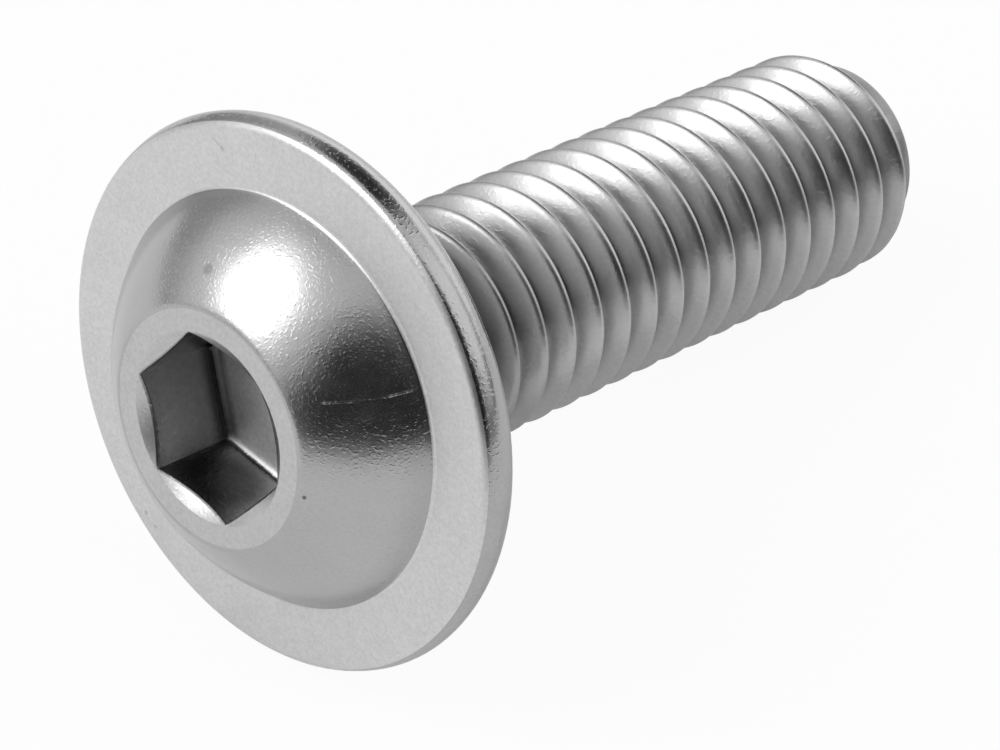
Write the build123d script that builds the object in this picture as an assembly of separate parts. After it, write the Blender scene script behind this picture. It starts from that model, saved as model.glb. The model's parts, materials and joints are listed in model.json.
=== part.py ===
from build123d import *

import os
from math import asin, atan2, ceil, cos, degrees, floor, hypot, radians, sin, tan

# Flanged button head screw with a hex socket, M6 x 20, threaded up to a short neck.
#
# It is cold headed, broached and thread rolled from one piece of wire, so it is one solid.
# The screw is drawn standing on its tip: the axis is Z, the bearing face under the collar is
# at z = 0, the head is above it and the tip is at z = -shank_length. It is then laid on its
# side, on the rim of the collar and the end of the thread.
# All lengths are in millimetres and all angles in degrees.

# Thread
thread_diameter = 6.0
thread_pitch = 1.0
flank_angle = 60.0          # between the two flanks of the groove
crest_width = thread_pitch / 8   # flats of the metric profile
root_width = thread_pitch / 6
crest_azimuth = 9.0         # where a crest is a whole number of pitches below the bearing face

# Shank
shank_length = 20.0
neck_inset = 0.35           # the plain neck is this much lower than the crests
neck_length = 0.9
neck_fillet = 0.4           # under the head
shoulder_angle = 45.0       # start of the thread ridge at the neck, from the axis
runout_length = 1.2         # where the root of the thread climbs up to the neck
point_inset = 0.55          # the plain point is this much lower than the crests
point_length = 0.45
point_angle = 45.0          # end of the thread ridge at the point, from the axis
point_edge_chamfer = 0.15

# Hex socket
socket_across_flats = 4.0
socket_depth = 2.3
socket_corner_azimuth = 52.7
floor_chamfer = 0.3         # between the walls and the floor, across and down
mouth_margin = 0.04         # countersink beyond the corners
mouth_angle = 120.0         # of the countersink, full angle

# Dome
head_height = 3.3
top_land_width = 0.6        # flat ring round the socket
dome_base_diameter = 10.2
dome_radius = 6.0

# Collar
collar_reach = 1.7          # stands out this far past the dome
collar_thickness = 1.2
collar_widest_depth = 0.4   # below the front face
collar_front_inset = 0.15   # the rim draws in this much from its widest to the front face
collar_back_inset = 0.55    # and this much to the bearing face

# Derived sizes
thread_radius = thread_diameter / 2
thread_depth = (thread_pitch - crest_width - root_width) / 2 / tan(radians(flank_angle / 2))
root_radius = thread_radius - thread_depth
neck_radius = thread_radius - neck_inset
point_radius = thread_radius - point_inset
point_top = -shank_length + point_length
half_flats = socket_across_flats / 2
mouth_radius = half_flats / cos(radians(30)) + mouth_margin
dome_top_radius = mouth_radius + top_land_width
dome_base_radius = dome_base_diameter / 2
collar_radius = dome_base_radius + collar_reach
collar_widest = collar_thickness - collar_widest_depth

# Shapes that are joined or cut reach this far into each other
overlap = 0.2
core_radius = root_radius - overlap


def arc_radius(reach, rise):
    """Radius of an arc that starts parallel to the axis and moves in by reach over rise."""
    return (reach**2 + rise**2) / (2 * reach)


collar_back_radius = arc_radius(collar_back_inset, collar_widest)


def climb(low_radius, high_radius, angle):
    """Length along the axis of a cone between two radii, at this angle to the axis."""
    return (high_radius - low_radius) / tan(radians(angle))


def smooth_core():
    """Head, neck, inner core and plain point, turned in one go."""
    dome_top = (dome_top_radius, head_height)
    dome_base = (dome_base_radius, collar_thickness)
    rim_front = (collar_radius - collar_front_inset, collar_thickness)
    rim_widest = (collar_radius, collar_widest)
    rim_back = (collar_radius - collar_back_inset, 0)
    neck_top = (neck_radius, 0)
    with BuildSketch(Plane.XZ) as section:
        with BuildLine():
            Line((0, head_height), dome_top)
            RadiusArc(dome_top, dome_base, dome_radius)
            Line(dome_base, rim_front)
            TangentArc(rim_widest, rim_front, tangent=(0, 1))
            TangentArc(rim_widest, rim_back, tangent=(0, -1))
            Polyline(
                rim_back,
                neck_top,
                (neck_radius, -neck_length),
                (core_radius, -neck_length - runout_length),
                (core_radius, point_top + climb(core_radius, point_radius, point_angle)),
                (point_radius, point_top),
                (point_radius, -shank_length + point_edge_chamfer),
                (point_radius - point_edge_chamfer, -shank_length),
                (0, -shank_length),
                (0, head_height),
            )
        make_face()
        fillet(section.vertices().sort_by_distance(neck_top)[0], radius=neck_fillet)
    return revolve(section.sketch, Axis.Z)


def ridge_envelope():
    """Space that the thread ridge may fill: clear of the crests, with a cone at each end."""
    outer = thread_radius + overlap
    top = -neck_length
    with BuildSketch(Plane.XZ) as section:
        with BuildLine():
            Polyline(
                (0, top + climb(core_radius, neck_radius, shoulder_angle)),
                (core_radius, top + climb(core_radius, neck_radius, shoulder_angle)),
                (outer, top - climb(neck_radius, outer, shoulder_angle)),
                (outer, point_top + climb(point_radius, outer, point_angle)),
                (core_radius, point_top - climb(core_radius, point_radius, point_angle)),
                (0, point_top - climb(core_radius, point_radius, point_angle)),
                close=True,
            )
        make_face()
    return revolve(section.sketch, Axis.Z)


def groove_turns():
    """Right-hand helical groove from inside the plain point to inside the neck, turn by turn."""
    slope = tan(radians(flank_angle / 2))
    overcut = crest_width / 4
    half_root = root_width / 2
    half_outer = (thread_pitch - crest_width) / 2 + overcut * slope
    bottom = point_top - half_outer
    top = -neck_length + half_outer
    with BuildSketch(Plane.XZ) as section:
        with BuildLine():
            Polyline(
                (root_radius, -half_root),
                (thread_radius + overcut, -half_outer),
                (thread_radius + overcut, half_outer),
                (root_radius, half_root),
                close=True,
            )
        make_face()
    turn = sweep(section.sketch, path=Helix(thread_pitch, thread_pitch, thread_radius), is_frenet=True)
    groove_azimuth = crest_azimuth + 360 * (bottom / thread_pitch - 0.5)
    turn = turn.rotate(Axis.Z, groove_azimuth)
    turns = ceil((top - bottom) / thread_pitch)
    return [Pos(0, 0, bottom + i * thread_pitch) * turn for i in range(turns)]


def hex_socket():
    """The space of the socket: hexagon, chamfered floor and countersunk mouth."""
    hexagon = RegularPolygon(half_flats, 6, major_radius=False, rotation=socket_corner_azimuth)
    straight_depth = socket_depth - floor_chamfer
    walls = extrude(Pos(0, 0, head_height) * hexagon, -straight_depth)
    chamfer_top = Pos(0, 0, head_height - straight_depth) * hexagon
    floor_slope = extrude(chamfer_top, -floor_chamfer, taper=45)
    mouth_bottom = half_flats - overlap
    mouth_depth = climb(mouth_bottom, mouth_radius, mouth_angle / 2)
    mouth = Cone(mouth_bottom, mouth_radius, mouth_depth)
    return walls + floor_slope + Pos(0, 0, head_height - mouth_depth / 2) * mouth


def threaded_rod():
    """The thread ridge from neck to point, with the rod inside it."""
    rod = Pos(0, 0, -shank_length / 2) * Cylinder(thread_radius, shank_length)
    return (rod - groove_turns()) & ridge_envelope()


def upright_screw():
    """The whole screw, standing on its tip."""
    return smooth_core() + threaded_rod() - hex_socket()


def ridge_corners():
    """The outermost points of the last two turns of the ridge, on the side of the floor.

    Each is how far it lies below the bearing face and out from the axis. The last full crest
    ends at its lower edge. The next one starts past the ridge's end, so the cone cuts it off.
    """
    ridge_end = -point_top - climb(point_radius, thread_radius, point_angle)
    first_crest = thread_pitch * (90 + crest_azimuth) / 360
    full_turns = floor((ridge_end - first_crest) / thread_pitch)
    last_crest = first_crest + full_turns * thread_pitch
    full = (min(last_crest + crest_width / 2, ridge_end), thread_radius)
    past_end = max(last_crest + thread_pitch - crest_width / 2 - ridge_end, 0)
    fall = tan(radians(point_angle))
    step = past_end / (1 + fall * tan(radians(flank_angle / 2)))
    return [full, (ridge_end + step, thread_radius - step * fall)]


def resting_slope():
    """Angle of the axis to the floor, lying on the rim's back arc and the end of the ridge."""
    slopes = []
    for depth, radius in ridge_corners():
        drop = collar_radius - collar_back_radius - radius
        run = collar_widest + depth
        slopes.append(atan2(drop, run) + asin(collar_back_radius / hypot(drop, run)))
    return degrees(min(slopes))


def laid_down(screw):
    """The screw on its side, head towards -Y, touching the floor with its rim and thread."""
    slope = radians(resting_slope())
    arc_centre = (collar_radius - collar_back_radius) * cos(slope) - collar_widest * sin(slope)
    lying = Rot(90 - resting_slope(), 0, 0) * screw
    middle = lying.bounding_box().center().Y
    return Pos(0, -middle, arc_centre + collar_back_radius) * lying


os.makedirs("parts", exist_ok=True)
export_step(laid_down(upright_screw()), "parts/button_head_screw.step")
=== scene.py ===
import json
from collections import namedtuple
from math import atan2, cos, degrees, pi, radians, sin, tan

import bpy
import numpy as np
from mathutils import Matrix, Vector


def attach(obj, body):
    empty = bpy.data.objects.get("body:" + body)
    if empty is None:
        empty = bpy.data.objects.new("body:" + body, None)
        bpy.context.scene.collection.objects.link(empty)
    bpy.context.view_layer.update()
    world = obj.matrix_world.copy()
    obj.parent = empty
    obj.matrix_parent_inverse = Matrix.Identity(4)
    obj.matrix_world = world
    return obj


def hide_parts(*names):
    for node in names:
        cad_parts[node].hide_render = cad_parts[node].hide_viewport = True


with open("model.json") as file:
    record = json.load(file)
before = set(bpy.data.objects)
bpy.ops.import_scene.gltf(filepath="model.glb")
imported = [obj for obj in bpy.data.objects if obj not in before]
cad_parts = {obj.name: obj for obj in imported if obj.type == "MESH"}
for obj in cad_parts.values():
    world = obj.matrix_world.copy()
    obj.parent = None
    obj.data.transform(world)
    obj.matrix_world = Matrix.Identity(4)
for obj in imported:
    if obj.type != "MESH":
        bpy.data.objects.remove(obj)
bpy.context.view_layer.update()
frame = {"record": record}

# Flanged button head screw, M6 x 20, in bright metal.
#
# The CAD solid is replaced by a finer mesh of the same form, with the small roundings of real
# edges. It is made standing, as the screw was turned: axis Z, bearing face at z = 0, head above,
# tip below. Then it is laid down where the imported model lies.
# Lengths are in millimetres and angles in degrees, until they reach Blender in metres.

MM = 0.001
PIECE = "flanged_screw"
NODE = "button_head_screw"

mounts = {mount["name"]: mount for mount in frame["record"]["mounts"]}
socket_mount = mounts["hex_socket"]

# Sizes of the solid
thread_radius = mounts["thread"]["dims"]["r_mm"]
thread_pitch = 1.0
flank_angle = 60.0           # between the two flanks of the groove
crest_width = thread_pitch / 8
root_width = thread_pitch / 6
crest_azimuth = 9.0          # where a crest is a whole number of pitches below the bearing face
shank_length = 20.0
neck_inset = 0.35            # the neck is this much lower than the crests
neck_length = 0.9
neck_fillet = 0.4            # under the head
runout_length = 1.2          # where the root of the thread climbs up to the neck
runout_overlap = 0.2         # the cone it climbs on starts this far below the root
point_inset = 0.55           # the point is this much lower than the crests
point_length = 0.45
half_flats = socket_mount["dims"]["r_mm"]
socket_depth = socket_mount["dims"]["length_mm"]
socket_corner_azimuth = 52.7
floor_corner = 0.24          # radius of the concave corner round the floor
mouth_margin = 0.04          # countersink beyond the corners
mouth_angle = 120.0          # of the countersink, full angle
head_height = 3.3
top_land_width = 0.6         # flat ring round the socket
dome_base_radius = 5.1
dome_radius = 6.0
collar_reach = 1.695         # past the dome, and just inside the facets of the solid
collar_thickness = 1.2
collar_widest = 0.8          # height of the rim's widest place
collar_front_inset = 0.15    # the rim draws in this much from its widest to the front face
collar_back_inset = 0.55     # and this much to the bearing face

# Small roundings of the real edges
mouth_rounding = 0.04
wall_top_rounding = 0.06     # at the middle of a wall, less towards the corners
dome_top_rounding = 0.35
dome_base_rounding = 0.16
rim_front_rounding = 0.3
rim_widest_rounding = 0.5
rim_back_rounding = 0.12
tip_rounding = 0.18
crest_rounding = 0.14        # how far below the crest the flank starts to bend
root_rounding = 0.2
end_rounding = 0.05          # where the cones at the ends meet the ridge

# Rows and columns of the mesh
columns = 144                # round the axis, with one on each corner of the hexagon
crest_rows = (0.0, 0.03, 0.06, 0.09, 0.12, 0.16)    # below a crest, in pitches
flank_rows = (0.2, 0.25)
root_rows = (0.3, 0.34, 0.38, 0.44)
row_snap = 0.01              # rows this near the ends of the thread join its end rings
rounding_steps = 6           # of each rounded edge
corner_steps = 6             # of the concave corner round the socket's floor
wall_top_steps = 4           # of the edge between the socket's walls and the countersink
dome_rows = 14               # on the dome's arc, between its ends
rim_rows = 8                 # on the rim's back arc, between its ends
mouth_lead = 0.1             # from the countersink's edge to a place on its cone
collar_row = 5.9             # radius of a row on the collar's front
bearing_row = 4.6            # and of one on its back
point_rows = (1.2, 0.5)      # radii of rows on the flat point
floor_rows = (0.25, 0.6)     # on the socket's floor, as shares of the way to its corner
wall_rows = (0.3, 0.7)       # on the socket's walls, as shares of their height
sharp_angle = 40.0           # edges that turn more than this are shaded sharp

# Derived sizes
thread_depth = (thread_pitch - crest_width - root_width) / 2 / tan(radians(flank_angle / 2))
root_radius = thread_radius - thread_depth
neck_radius = thread_radius - neck_inset
point_radius = thread_radius - point_inset
point_top = point_length - shank_length
floor_height = head_height - socket_depth
mouth_radius = half_flats / cos(radians(30)) + mouth_margin
dome_top_radius = mouth_radius + top_land_width
collar_radius = dome_base_radius + collar_reach
rim_front_radius = collar_radius - collar_front_inset
rim_back_radius = collar_radius - collar_back_inset
azimuths = np.radians(socket_corner_azimuth + 360 * np.arange(columns) / columns)


# ---------------------------------------------------------------- outline of the turned parts

def arc(start, end, radius, count):
    """Points between start and end of an arc that bulges to the left of the way there."""
    start, end = Vector(start), Vector(end)
    chord = end - start
    left = Vector((-chord.y, chord.x)).normalized()
    centre = (start + end) / 2 - left * (radius**2 - chord.length_squared / 4) ** 0.5
    first = atan2(start.y - centre.y, start.x - centre.x)
    turn = -2 * np.arcsin(chord.length / 2 / radius)
    angles = [first + turn * i / (count + 1) for i in range(1, count + 1)]
    return [(centre.x + radius * cos(a), centre.y + radius * sin(a)) for a in angles]


def arc_radius(reach, rise):
    """Radius of an arc that starts parallel to the axis and moves in by reach over rise."""
    return (reach**2 + rise**2) / (2 * reach)


def rounded_corner(before, corner, after, radius):
    """Points of a small arc in place of a corner."""
    corner = Vector(corner)
    back = (Vector(before) - corner).normalized()
    ahead = (Vector(after) - corner).normalized()
    half_open = back.angle(ahead) / 2
    centre = corner + (back + ahead).normalized() * radius / sin(half_open)
    first = corner + back * radius / tan(half_open) - centre
    last = corner + ahead * radius / tan(half_open) - centre
    shares = [i / rounding_steps for i in range(rounding_steps + 1)]
    spokes = [first.slerp(last, share).normalized() for share in shares]
    return [tuple(centre + spoke * radius) for spoke in spokes]


def with_roundings(points, roundings):
    """The outline with each corner that roundings names made round."""
    result = []
    for i, point in enumerate(points):
        if point in roundings:
            result += rounded_corner(points[i - 1], point, points[i + 1], roundings[point])
        else:
            result.append(point)
    return result


def countersink_height(radius):
    """Height of the countersink's cone at this distance from the axis."""
    return head_height - (mouth_radius - radius) / tan(radians(mouth_angle / 2))


def head_outline():
    """Radius and height from the socket's mouth over the head and down to the thread."""
    on_cone = (mouth_radius - mouth_lead, countersink_height(mouth_radius - mouth_lead))
    mouth = (mouth_radius, head_height)
    dome_top = (dome_top_radius, head_height)
    dome_base = (dome_base_radius, collar_thickness)
    rim_front = (rim_front_radius, collar_thickness)
    rim_widest = (collar_radius, collar_widest)
    rim_back = (rim_back_radius, 0.0)
    neck_top = (neck_radius, 0.0)
    neck_end = (neck_radius, -neck_length)
    points = [on_cone, mouth, dome_top]
    points += arc(dome_top, dome_base, dome_radius, dome_rows)
    points += [dome_base, (collar_row, collar_thickness), rim_front, rim_widest]
    points += arc(rim_widest, rim_back, arc_radius(collar_back_inset, collar_widest), rim_rows)
    points += [rim_back, (bearing_row, 0.0), neck_top, neck_end]
    roundings = {
        mouth: mouth_rounding,
        dome_top: dome_top_rounding,
        dome_base: dome_base_rounding,
        rim_front: rim_front_rounding,
        rim_widest: rim_widest_rounding,
        rim_back: rim_back_rounding,
        neck_top: neck_fillet,
    }
    from_cone = with_roundings(points, roundings)
    return from_cone[1:]


def tip_outline():
    """Radius and height from the end of the thread to near the middle of the flat point."""
    edge = (point_radius, -shank_length)
    points = [(point_radius, point_top), edge]
    points += [(radius, -shank_length) for radius in point_rows]
    return with_roundings(points, {edge: tip_rounding})


# ---------------------------------------------------------------- socket and thread

def round_ring(radius, height):
    """Radius and height of a plain circle in each column."""
    return np.full(columns, float(radius)), np.full(columns, float(height))


def hexagon_radii(half_width):
    """Distance from the axis to a hexagon in each column."""
    from_flat = (np.arange(columns) * 360 / columns) % 60 - 30
    return half_width / np.cos(np.radians(from_flat))


def floor_corner_rings():
    """The concave corner between the socket's floor and its walls."""
    rings = []
    for i in range(corner_steps + 1):
        angle = radians(90 - 90 * i / corner_steps)
        inset = floor_corner * (1 - cos(angle))
        height = floor_height + floor_corner * (1 - sin(angle))
        rings.append((hexagon_radii(half_flats - inset), height))
    return rings


def wall_top_rings():
    """The rounded edge between walls and countersink, at most half as wide as the countersink."""
    wall = hexagon_radii(half_flats)
    size = np.minimum(wall_top_rounding, (mouth_radius - wall) / 2)
    outside = wall + size * sin(radians(mouth_angle / 2))
    start = np.array([wall, countersink_height(wall) - size])
    corner = np.array([wall, countersink_height(wall)])
    end = np.array([outside, countersink_height(outside)])
    rings = []
    for i in range(wall_top_steps + 1):
        share = i / wall_top_steps
        rings.append((1 - share)**2 * start + 2 * share * (1 - share) * corner + share**2 * end)
    return rings


def socket_rings():
    """Rings from near the middle of the socket's floor up its walls to the countersink."""
    floor_edge = hexagon_radii(half_flats - floor_corner)
    rings = [(floor_edge * share, floor_height) for share in floor_rows]
    rings += floor_corner_rings()
    wall_bottom, wall_top = rings[-1], wall_top_rings()
    for share in wall_rows:
        height = wall_bottom[1] + (wall_top[0][1] - wall_bottom[1]) * share
        rings.append((wall_bottom[0], height))
    return [(radii, np.broadcast_to(height, columns)) for radii, height in rings + wall_top]


def soft_floor(value, bend):
    """The larger of value and 0, bending smoothly between -bend and bend."""
    curve = bend * np.clip((value + bend) / (2 * bend), 0, 1) ** 2
    return np.where(value > bend, value, curve)


def soft_max(a, b, bend):
    """The larger of two values, with a rounding where they meet."""
    return b + soft_floor(a - b, bend)


def soft_min(a, b, bend):
    """The smaller of two values, with a rounding where they meet."""
    return b - soft_floor(b - a, bend)


def crest_height(azimuth):
    """Height of a crest at this azimuth. The others are whole pitches from it."""
    return thread_pitch * (degrees(azimuth) - crest_azimuth) / 360


def thread_surface(height, azimuth):
    """Radius of the shank between neck and point, at this height and azimuth."""
    in_pitch = (height - crest_height(azimuth)) % thread_pitch
    from_crest = np.minimum(in_pitch, thread_pitch - in_pitch)
    flank = (from_crest - crest_width / 2) / tan(radians(flank_angle / 2))
    depth = soft_min(soft_floor(flank, crest_rounding), thread_depth, root_rounding)
    from_neck = -neck_length - height
    from_point = height - point_top
    envelope = np.minimum(neck_radius + from_neck, point_radius + from_point)
    ridge = soft_min(thread_radius - depth, envelope, end_rounding)
    climb = (neck_radius - root_radius + runout_overlap) / runout_length
    core = np.maximum(neck_radius - from_neck * climb, point_radius - from_point)
    return soft_max(ridge, core, end_rounding)


def pitch_rows():
    """How far below a crest each row of one turn is, down to just before the next crest."""
    half = np.array([*crest_rows, *flank_rows, *root_rows])
    mid_root, other_half = [0.5], 1 - half[:0:-1]
    return np.concatenate([half, mid_root, other_half]) * thread_pitch


# ---------------------------------------------------------------- mesh

LAND, DOME, COLLAR, RIM, FLOOR, SOCKET, THREAD = range(7)      # the material of each face

# Where one material gives way to the next, a quarter of the way into a rounding
land_edge_radius = dome_top_radius - dome_top_rounding / 4
dome_foot_height = collar_thickness + dome_base_rounding / 4
floor_edge_height = floor_height + floor_corner / 4


class Surface:
    """A closed mesh, gathered ring by ring."""

    def __init__(self):
        self.points = []
        self.faces = []
        self.zones = []

    def add_points(self, radii, heights, angles):
        """Adds points and returns their numbers."""
        first = len(self.points)
        self.points += zip(radii * np.cos(angles), radii * np.sin(angles), heights)
        return np.arange(first, first + len(radii))

    def add_face(self, corners, zone):
        """Adds a face, leaving out corners that fall together."""
        kept = [int(c) for i, c in enumerate(corners) if c != corners[i - 1]]
        if len(set(kept)) > 2:
            self.faces.append(kept)
            self.zones.append(zone)

    def add_rings(self, rings, zones):
        """Adds rings, each a pair of radii and heights, joins them and returns their points."""
        numbers = [self.add_points(*ring, azimuths) for ring in rings]
        for above, below, zone in zip(numbers, numbers[1:], zones):
            self.join(above, below, zone)
        return numbers

    def join(self, above, below, zone):
        """Joins two rings of points with one band of faces."""
        for i in range(columns):
            self.add_face((above[i - 1], below[i - 1], below[i], above[i]), zone)

    def close(self, ring, height, zone):
        """Joins a ring to a point on the axis. The faces look up if the ring runs anticlockwise."""
        middle = len(self.points)
        self.points.append((0.0, 0.0, height))
        for i in range(columns):
            self.add_face((ring[i - 1], ring[i], middle), zone)


def add_thread(surface, top_ring, bottom_ring):
    """The threaded length. Its rows follow the helix, so that each crest is one clean line."""
    rows = pitch_rows()
    turns = int(shank_length / thread_pitch) + 2
    below_crest = np.concatenate([rows + turn * thread_pitch for turn in range(-1, turns)])
    numbers = []
    for i, azimuth in enumerate(azimuths):
        heights = crest_height(azimuth) - below_crest
        column = np.where(heights > point_top + row_snap, top_ring[i], bottom_ring[i])
        inside = (heights < -neck_length - row_snap) & (heights > point_top + row_snap)
        radii = thread_surface(heights[inside], azimuth)
        column[inside] = surface.add_points(radii, heights[inside], azimuth)
        numbers.append(column)
    first_turn = np.full(len(rows), top_ring[0])
    numbers.append(np.concatenate([first_turn, numbers[0][:-len(rows)]]))
    for left, right in zip(numbers, numbers[1:]):
        for m in range(len(below_crest) - 1):
            surface.add_face((left[m], left[m + 1], right[m + 1], right[m]), THREAD)


def head_zone(radius, height):
    """The material of the head at this place of its outline."""
    if radius > rim_front_radius:
        return RIM
    if height < dome_foot_height:
        return COLLAR
    return DOME if radius > land_edge_radius else LAND


def socket_zone(ring):
    """The material of the socket from this ring up to the next."""
    radii, heights = ring
    return FLOOR if heights[0] < floor_edge_height else SOCKET


def screw_surface():
    """The whole screw, standing on its tip."""
    surface = Surface()
    socket_sides = socket_rings()
    head_sides = head_outline()
    tip_sides = [round_ring(*point) for point in tip_outline()]
    socket = surface.add_rings(socket_sides, [socket_zone(ring) for ring in socket_sides])
    head = surface.add_rings([round_ring(*point) for point in head_sides],
                             [head_zone(*point) for point in head_sides])
    tip = surface.add_rings(tip_sides, [THREAD] * len(tip_sides))
    surface.close(socket[0], floor_height, FLOOR)
    surface.join(socket[-1], head[0], LAND)
    add_thread(surface, head[-1], tip[0])
    surface.close(tip[-1][::-1], -shank_length, THREAD)
    return surface


def lying_matrix():
    """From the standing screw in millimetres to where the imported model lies, in metres."""
    up = Vector(socket_mount["axis"]).normalized()
    across = Vector((1, 0, 0))
    turn = Matrix((across, up.cross(across), up)).transposed()
    bearing_face = Vector(socket_mount["pos_m"]) - up * head_height * MM
    return Matrix.LocRotScale(bearing_face, turn, Vector((MM, MM, MM)))


lying = lying_matrix()


def make_screw(materials):
    """The screw as one object, with one material for each zone."""
    surface = screw_surface()
    mesh = bpy.data.meshes.new(PIECE)
    mesh.from_pydata(surface.points, [], surface.faces)
    mesh.transform(lying)
    mesh.polygons.foreach_set("material_index", surface.zones)
    for material in materials:
        mesh.materials.append(material)
    mesh.shade_smooth()
    mesh.set_sharp_from_angle(angle=radians(sharp_angle))
    mesh.validate()
    screw = bpy.data.objects.new(PIECE, mesh)
    bpy.context.scene.collection.objects.link(screw)
    return screw


# ---------------------------------------------------------------- materials

# Sizes are in millimetres of the standing screw
fine_detail = 1.0            # of the noise that the grain is made from
speck_start = 0.0            # only the peaks of that noise stand out of the metal
speck_end = 0.3
broad_detail = 3.0           # of the noise for broad unevenness, and for strokes
broad_per_mm = 0.9
broad_depth = 0.01
broad_tint = 0.12            # how much it changes the tone
broad_roughness = 0.15       # and the roughness
spot_depth = 0.012           # of a wholly dark spot

Grain = namedtuple("Grain", "per_mm depth tint")         # tint is the change of tone
Strokes = namedtuple("Strokes", "along across depth")    # how fine they are in both directions
Spot = namedtuple("Spot", "centre radius darkness")
Streak = namedtuple("Streak", "start end half_width rise darkness")
PaintedShade = namedtuple("PaintedShade", "outward start end darkness")  # painted shade, growing by distance from the axis or by height

dome_spots = [
    Spot((3.09, -0.21, 3.21), 0.07, 0.7),
    Spot((-1.02, 3.57, 2.78), 0.2, 0.25),
]
dome_scratches = [
    Streak((2.88, 2.06, 2.91), (3.53, 2.25, 2.36), 0.04, 0.006, 0.0),
    Streak((3.4, 2.23, 2.47), (4.06, 2.45, 1.73), 0.04, 0.006, 0.0),
    Streak((3.95, 2.41, 1.87), (4.3, 2.59, 1.35), 0.04, 0.006, 0.0),
]
dome_foot_painted_shade = [PaintedShade(True, 4.5, 5.1, 0.12)]                 # painted shade, darker towards the foot of the dome
collar_spots = [
    Spot((-3.59, -5.08, 1.2), 0.09, 0.25),
    Spot((-3.24, -5.30, 1.2), 0.08, 0.2),
    Spot((-2.44, 5.5, 1.2), 0.09, 0.2),
]
collar_scratches = [Streak((-2.8, 5.65, 1.2), (-2.4, 5.5, 1.2), 0.05, -0.004, 0.15)]
wall_painted_shade = [Spot((-0.25, -1.98, 2.2), 1.7, 0.8)]       # painted shade on one wall of the socket
# Painted shade in the corner between the socket's floor and one wall, given as a broad dark streak
# with no rise.
corner_painted_shade = [Streak((-1.24, -2.2, 1.05), (-2.46, 0.7, 1.05), 0.5, 0.0, 0.9)]
groove_shade_depth = 0.2                                  # painted shade in the grooves starts this far below the crests
# Painted shade on the thread: darker towards the roots and towards the head.
thread_painted_shade = [
    PaintedShade(True, thread_radius - groove_shade_depth, root_radius, 0.5),
    PaintedShade(False, -7.0, -1.5, 0.5),                        # painted shade of the collar, darker towards the head
]


def add_node(tree, kind, inputs=None, **settings):
    """A shader node with its settings, and its inputs set to values or linked to sockets."""
    node = tree.nodes.new("ShaderNode" + kind)
    for name, value in settings.items():
        setattr(node, name, value)
    for key, value in (inputs or {}).items():
        if isinstance(value, bpy.types.NodeSocket):
            tree.links.new(value, node.inputs[key])
        else:
            node.inputs[key].default_value = value
    return node


def new_material(name):
    """An empty material and its node tree."""
    material = bpy.data.materials.new(name)
    material.use_nodes = True
    tree = material.node_tree
    tree.nodes.clear()
    return material, tree


def standing_place(tree):
    """Where a point is on the standing screw, in millimetres."""
    place = add_node(tree, "TexCoord").outputs["Object"]
    centre, turn, size = lying.decompose()
    mapping = {"Vector": place, "Location": centre, "Rotation": turn.to_euler(), "Scale": size}
    return add_node(tree, "Mapping", mapping, vector_type="TEXTURE").outputs["Vector"]


def scaled(tree, value, factor, offset=0.0):
    """value times factor plus offset."""
    inputs = {0: value, 1: factor, 2: offset}
    return add_node(tree, "Math", inputs, operation="MULTIPLY_ADD").outputs[0]


def combined(tree, first, second, operation="ADD"):
    """The sum of two values, or the outcome of another operation on them."""
    return add_node(tree, "Math", {0: first, 1: second}, operation=operation).outputs[0]


def noise(tree, place, per_mm, detail):
    """Noise about 0, with this many features in a millimetre."""
    texture = add_node(tree, "TexNoise", {"Vector": place, "Scale": per_mm, "Detail": detail})
    return scaled(tree, texture.outputs["Fac"], 1.0, -0.5)


def mixed(tree, share, base, other):
    """base where share is 0 and other where it is 1."""
    inputs = {"Factor": share, "A": base, "B": other}
    return add_node(tree, "Mix", inputs, data_type="FLOAT").outputs["Result"]


def share_between(tree, value, start, end):
    """0 where value is at start and 1 where it is at end, bending smoothly."""
    inputs = {"Value": value, "From Min": start, "From Max": end}
    return add_node(tree, "MapRange", inputs, interpolation_type="SMOOTHSTEP").outputs[0]


def off_axis(tree, place):
    """The part of place that is square to the axis, and its length."""
    parts = add_node(tree, "SeparateXYZ", {0: place}).outputs
    flat = add_node(tree, "CombineXYZ", {"X": parts["X"], "Y": parts["Y"]}).outputs[0]
    return flat, add_node(tree, "VectorMath", {0: flat}, operation="LENGTH").outputs["Value"]


def drawn_noise(tree, place, strokes):
    """Noise that is drawn out round the axis, as turning and pressing leave it."""
    flat, radius = off_axis(tree, place)
    spoke = add_node(tree, "VectorMath", {0: flat}, operation="NORMALIZE").outputs["Vector"]
    outward = add_node(tree, "CombineXYZ", {"Z": scaled(tree, radius, strokes.across)}).outputs[0]
    inputs = {0: spoke, 1: (strokes.along, strokes.along, strokes.along), 2: outward}
    drawn = add_node(tree, "VectorMath", inputs, operation="MULTIPLY_ADD").outputs["Vector"]
    return noise(tree, drawn, 1.0, broad_detail)


def spot_share(tree, place, centre, radius):
    """0 outside a round mark, rising to 1 at a third of its radius."""
    distance = add_node(tree, "VectorMath", {0: place, 1: centre}, operation="DISTANCE")
    return share_between(tree, distance.outputs["Value"], radius, radius / 3)


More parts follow.
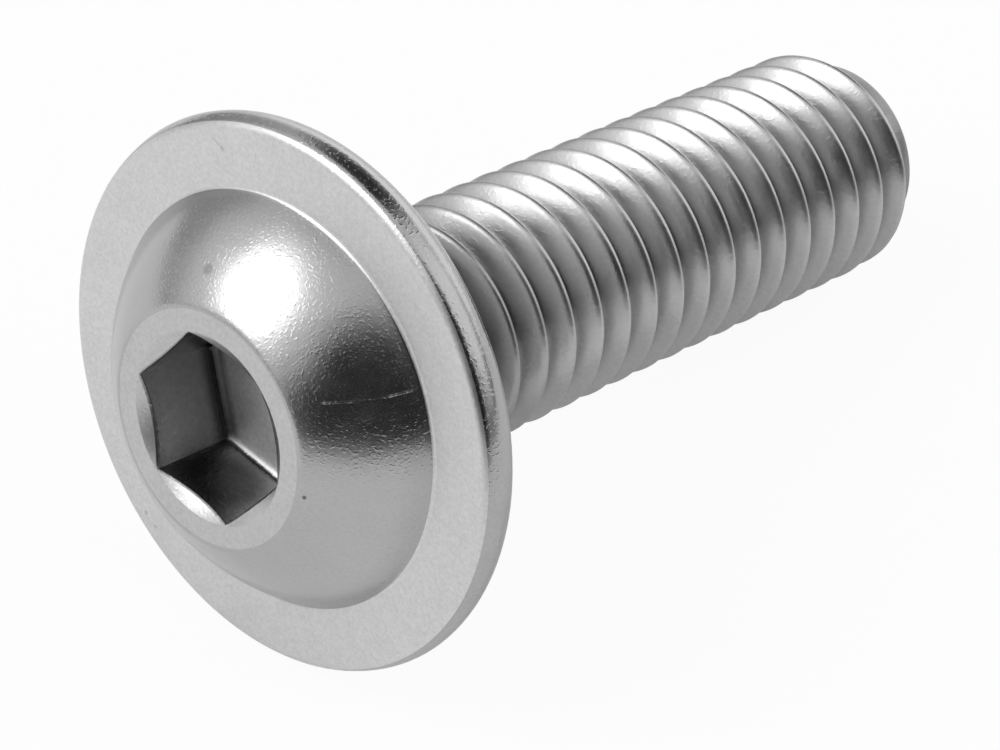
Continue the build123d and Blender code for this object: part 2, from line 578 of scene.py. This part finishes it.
def streak_share(tree, place, streak):
    """1 along the middle of a straight mark, fading to 0 at its sides and in its end sixths."""
    start, end = Vector(streak.start), Vector(streak.end)
    middle, along, length = (start + end) / 2, (end - start).normalized(), (end - start).length
    away = add_node(tree, "VectorMath", {0: place, 1: middle}, operation="SUBTRACT").outputs["Vector"]
    forward = add_node(tree, "VectorMath", {0: away, 1: along}, operation="DOT_PRODUCT")
    beside = add_node(tree, "VectorMath", {0: away, 1: along}, operation="CROSS_PRODUCT")
    sideways = add_node(tree, "VectorMath", {0: beside.outputs["Vector"]}, operation="LENGTH")
    across = share_between(tree, sideways.outputs["Value"], streak.half_width, 0.0)
    travel = add_node(tree, "Math", {0: forward.outputs["Value"]}, operation="ABSOLUTE").outputs[0]
    return combined(tree, across, share_between(tree, travel, length / 2, length / 3), "MULTIPLY")


def painted_shade_share(tree, place, painted_shade):
    """0 where the painted shade starts and 1 where it ends."""
    if painted_shade.outward:
        _, way = off_axis(tree, place)
    else:
        way = add_node(tree, "SeparateXYZ", {0: place}).outputs["Z"]
    return share_between(tree, way, painted_shade.start, painted_shade.end)


def darkened(tree, colour, share, darkness):
    """colour, darker by this much where share is 1."""
    return combined(tree, colour, scaled(tree, share, -darkness, 1.0), "MULTIPLY")


def metal(name, tone, roughness, grain, strokes=None, spots=(), streaks=(), painted_shade=()):
    """Bright metal with a grain, faint strokes round the axis, small marks and painted shade."""
    material, tree = new_material(name)
    place = standing_place(tree)
    fine = noise(tree, place, grain.per_mm, fine_detail)
    specks = share_between(tree, fine, speck_start, speck_end)
    broad = noise(tree, place, broad_per_mm, broad_detail)
    height = combined(tree, scaled(tree, specks, grain.depth), scaled(tree, broad, broad_depth))
    if strokes:
        drawn = drawn_noise(tree, place, strokes)
        height = combined(tree, height, scaled(tree, drawn, strokes.depth))
    colour = combined(tree, scaled(tree, fine, grain.tint * tone),
                      scaled(tree, broad, broad_tint * tone, tone))
    for spot in spots:
        share = spot_share(tree, place, spot.centre, spot.radius)
        colour = darkened(tree, colour, share, spot.darkness)
        height = combined(tree, height, scaled(tree, share, -spot_depth * spot.darkness))
    # Streaks are scratches, and in the socket a strip of painted shade.
    for streak in streaks:
        share = streak_share(tree, place, streak)
        colour = darkened(tree, colour, share, streak.darkness)
        height = combined(tree, height, scaled(tree, share, streak.rise))
    # Painted shade: the metal is made darker where shade falls, in grooves, at a foot or behind the
    # collar.
    for layer in painted_shade:
        colour = darkened(tree, colour, painted_shade_share(tree, place, layer), layer.darkness)
    bump = add_node(tree, "Bump", {"Height": height, "Distance": MM})
    shader = add_node(tree, "BsdfPrincipled", {
        "Base Color": colour,
        "Metallic": 1.0,
        "Roughness": scaled(tree, broad, broad_roughness, roughness),
        "Normal": bump.outputs["Normal"],
    })
    add_node(tree, "OutputMaterial", {"Surface": shader.outputs[0]})
    return material


def finishes_and_painted_shade():
    """The metal of each zone, in the order of the zones: tone, roughness, grain and marks. The tones
    differ from zone to zone partly as painted light and shade: the socket's floor is lighter than its
    walls, and the dome darker than the collar, for the light each gets.
    """
    return [
        metal("land_metal", 0.58, 0.3, Grain(12, 0.002, 0.3)),
        metal("dome_metal", 0.48, 0.22, Grain(14, 0.0025, 0.2), Strokes(60, 30, 0.0005),
              spots=dome_spots, streaks=dome_scratches, painted_shade=dome_foot_painted_shade),
        metal("collar_metal", 0.7, 0.35, Grain(12, 0.002, 0.3), Strokes(60, 20, 0.001),
              spots=collar_spots, streaks=collar_scratches),
        metal("rim_metal", 0.45, 0.18, Grain(12, 0.004, 0.2), Strokes(60, 20, 0.001)),
        metal("floor_metal", 0.75, 0.5, Grain(8, 0.004, 0.4), streaks=corner_painted_shade),
        metal("socket_metal", 0.35, 0.25, Grain(8, 0.004, 0.4), spots=wall_painted_shade,
              streaks=corner_painted_shade),
        metal("thread_metal", 0.53, 0.3, Grain(10, 0.0015, 0.2), Strokes(60, 10, 0.001),
              painted_shade=thread_painted_shade),
    ]


# ---------------------------------------------------------------- studio

# Lengths are in metres
table_reach = 1.5
table_colour = 0.95
cloth_middle = (0.25, -0.25, 0.0)    # of a round dark cloth on the table, towards the camera
cloth_radius = 0.32
camera_white = 0.94          # share of plain white in the table, as the camera sees it
mirror_white = 0.2           # and as the metal sees it

horizon_level = 0.24         # brightness of the sky
zenith_level = 0.88
# azimuth, elevation, radius of the even middle, radius with the soft edge, level
sky_patches = [
    (105, 5, 25, 55, 1.28),      # pale backdrop
    (115, 50, 8, 30, 0.12),      # dark above it
    (25, 42, 10, 40, 1.16),      # reflector on the right
    (-178, 15, 10, 32, 0.44),    # pale wall on the left
    (130, 71, 10, 26, 0.04),     # gap in the ceiling
    (-42, 21, 22, 48, 0.024),    # dark room behind the camera
    (-130, 42, 30, 50, 0.84),    # round the soft box
    (-126, 45, 10, 30, 1.44),    # its glow
]

lamp_azimuth = -125
lamp_elevation = 45
lamp_distance = 0.8
lamp_width = 0.52
lamp_height = 0.5
lamp_radiance = 2.0          # of its face, where a white surface in plain light has 1


def make_floor():
    """A large pale table. The camera sees a little of its lit colour, and so a faint shadow."""
    mesh = bpy.data.meshes.new("table")
    far = table_reach
    corners = [(-far, -far, 0), (far, -far, 0), (far, far, 0), (-far, far, 0)]
    mesh.from_pydata(corners, [], [(0, 1, 2, 3)])
    table = bpy.data.objects.new("table", mesh)
    bpy.context.scene.collection.objects.link(table)
    mesh.materials.append(table_white())


def table_white():
    """White with a dark cloth on it. Part of it looks plain white, however it is lit."""
    material, tree = new_material("table_white")
    place = add_node(tree, "TexCoord").outputs["Object"]
    cloth = spot_share(tree, place, cloth_middle, cloth_radius)
    bare = scaled(tree, cloth, -1.0, 1.0)
    lit = add_node(tree, "BsdfDiffuse", {"Color": scaled(tree, bare, table_colour)})
    white = add_node(tree, "Emission", {"Color": (1, 1, 1, 1), "Strength": 1.0})
    path = add_node(tree, "LightPath").outputs
    mirrored = combined(tree, path["Is Glossy Ray"], path["Is Transmission Ray"], "MAXIMUM")
    seen = scaled(tree, path["Is Camera Ray"], camera_white)
    share = scaled(tree, combined(tree, mirrored, bare, "MULTIPLY"), mirror_white, seen)
    both = add_node(tree, "MixShader", {0: share, 1: lit.outputs[0], 2: white.outputs[0]})
    add_node(tree, "OutputMaterial", {"Surface": both.outputs[0]})
    return material


def direction(azimuth, elevation):
    """Unit vector to a place in the sky. Azimuth 0 is +X, 90 is +Y."""
    a, e = radians(azimuth), radians(elevation)
    return cos(a) * cos(e), sin(a) * cos(e), sin(e)


def sky_patch(tree, towards, base, azimuth, elevation, inner, outer, level):
    """base, with a soft-edged round patch of another brightness."""
    centre = direction(azimuth, elevation)
    facing = add_node(tree, "VectorMath", {0: towards, 1: centre}, operation="DOT_PRODUCT")
    edge, even = cos(radians(outer)), cos(radians(inner))
    share = share_between(tree, facing.outputs["Value"], edge, even)
    return mixed(tree, share, base, level)


def make_sky():
    """The room round the table, as the screw and the table see it. The camera sees plain white."""
    world = bpy.data.worlds.new("studio")
    bpy.context.scene.world = world
    world.use_nodes = True
    tree = world.node_tree
    tree.nodes.clear()
    towards = add_node(tree, "TexCoord").outputs["Generated"]
    height = add_node(tree, "SeparateXYZ", {0: towards}).outputs["Z"]
    inputs = {"Value": height, "To Min": horizon_level, "To Max": zenith_level}
    level = add_node(tree, "MapRange", inputs).outputs[0]
    for patch in sky_patches:
        level = sky_patch(tree, towards, level, *patch)
    seen = mixed(tree, add_node(tree, "LightPath").outputs["Is Camera Ray"], level, 1.0)
    background = add_node(tree, "Background", {"Color": (1, 1, 1, 1), "Strength": seen})
    add_node(tree, "OutputWorld", {"Surface": background.outputs[0]})


def make_lamp():
    """A soft box that faces the screw."""
    light = bpy.data.lights.new("soft_box", "AREA")
    light.shape = "ELLIPSE"
    light.size = lamp_width
    light.size_y = lamp_height
    area = pi * lamp_width * lamp_height / 4
    light.energy = lamp_radiance * pi * area
    lamp = bpy.data.objects.new("soft_box", light)
    bpy.context.scene.collection.objects.link(lamp)
    away = Vector(direction(lamp_azimuth, lamp_elevation))
    lamp.location = away * lamp_distance
    lamp.rotation_mode = "QUATERNION"
    lamp.rotation_quaternion = away.to_track_quat("Z", "Y")


# ---------------------------------------------------------------- camera

camera_azimuth = 43.17
camera_elevation = 39.63
camera_offset = Vector((53.055, -50.067, 60.592))   # from the middle of the bearing face
sensor_width = 36.0
lens_length = 146.76
nearest = 0.005              # what the camera sees is between these, in metres
farthest = 10.0


def make_camera():
    """The camera of the main picture."""
    data = bpy.data.cameras.new("camera")
    data.sensor_width = sensor_width
    data.lens = lens_length
    data.clip_start = nearest
    data.clip_end = farthest
    camera = bpy.data.objects.new("camera", data)
    bpy.context.scene.collection.objects.link(camera)
    a, e = radians(camera_azimuth), radians(camera_elevation)
    back = Vector((sin(a) * cos(e), -cos(a) * cos(e), sin(e)))
    camera.location = lying.translation + camera_offset * MM
    camera.rotation_mode = "QUATERNION"
    camera.rotation_quaternion = back.to_track_quat("Z", "Y")
    bpy.context.scene.camera = camera


# ---------------------------------------------------------------- scene


make_camera()
make_floor()
make_sky()
make_lamp()
screw = make_screw(finishes_and_painted_shade())
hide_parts(NODE)
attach(screw, "root")
bpy.context.scene.view_settings.view_transform = "Standard"
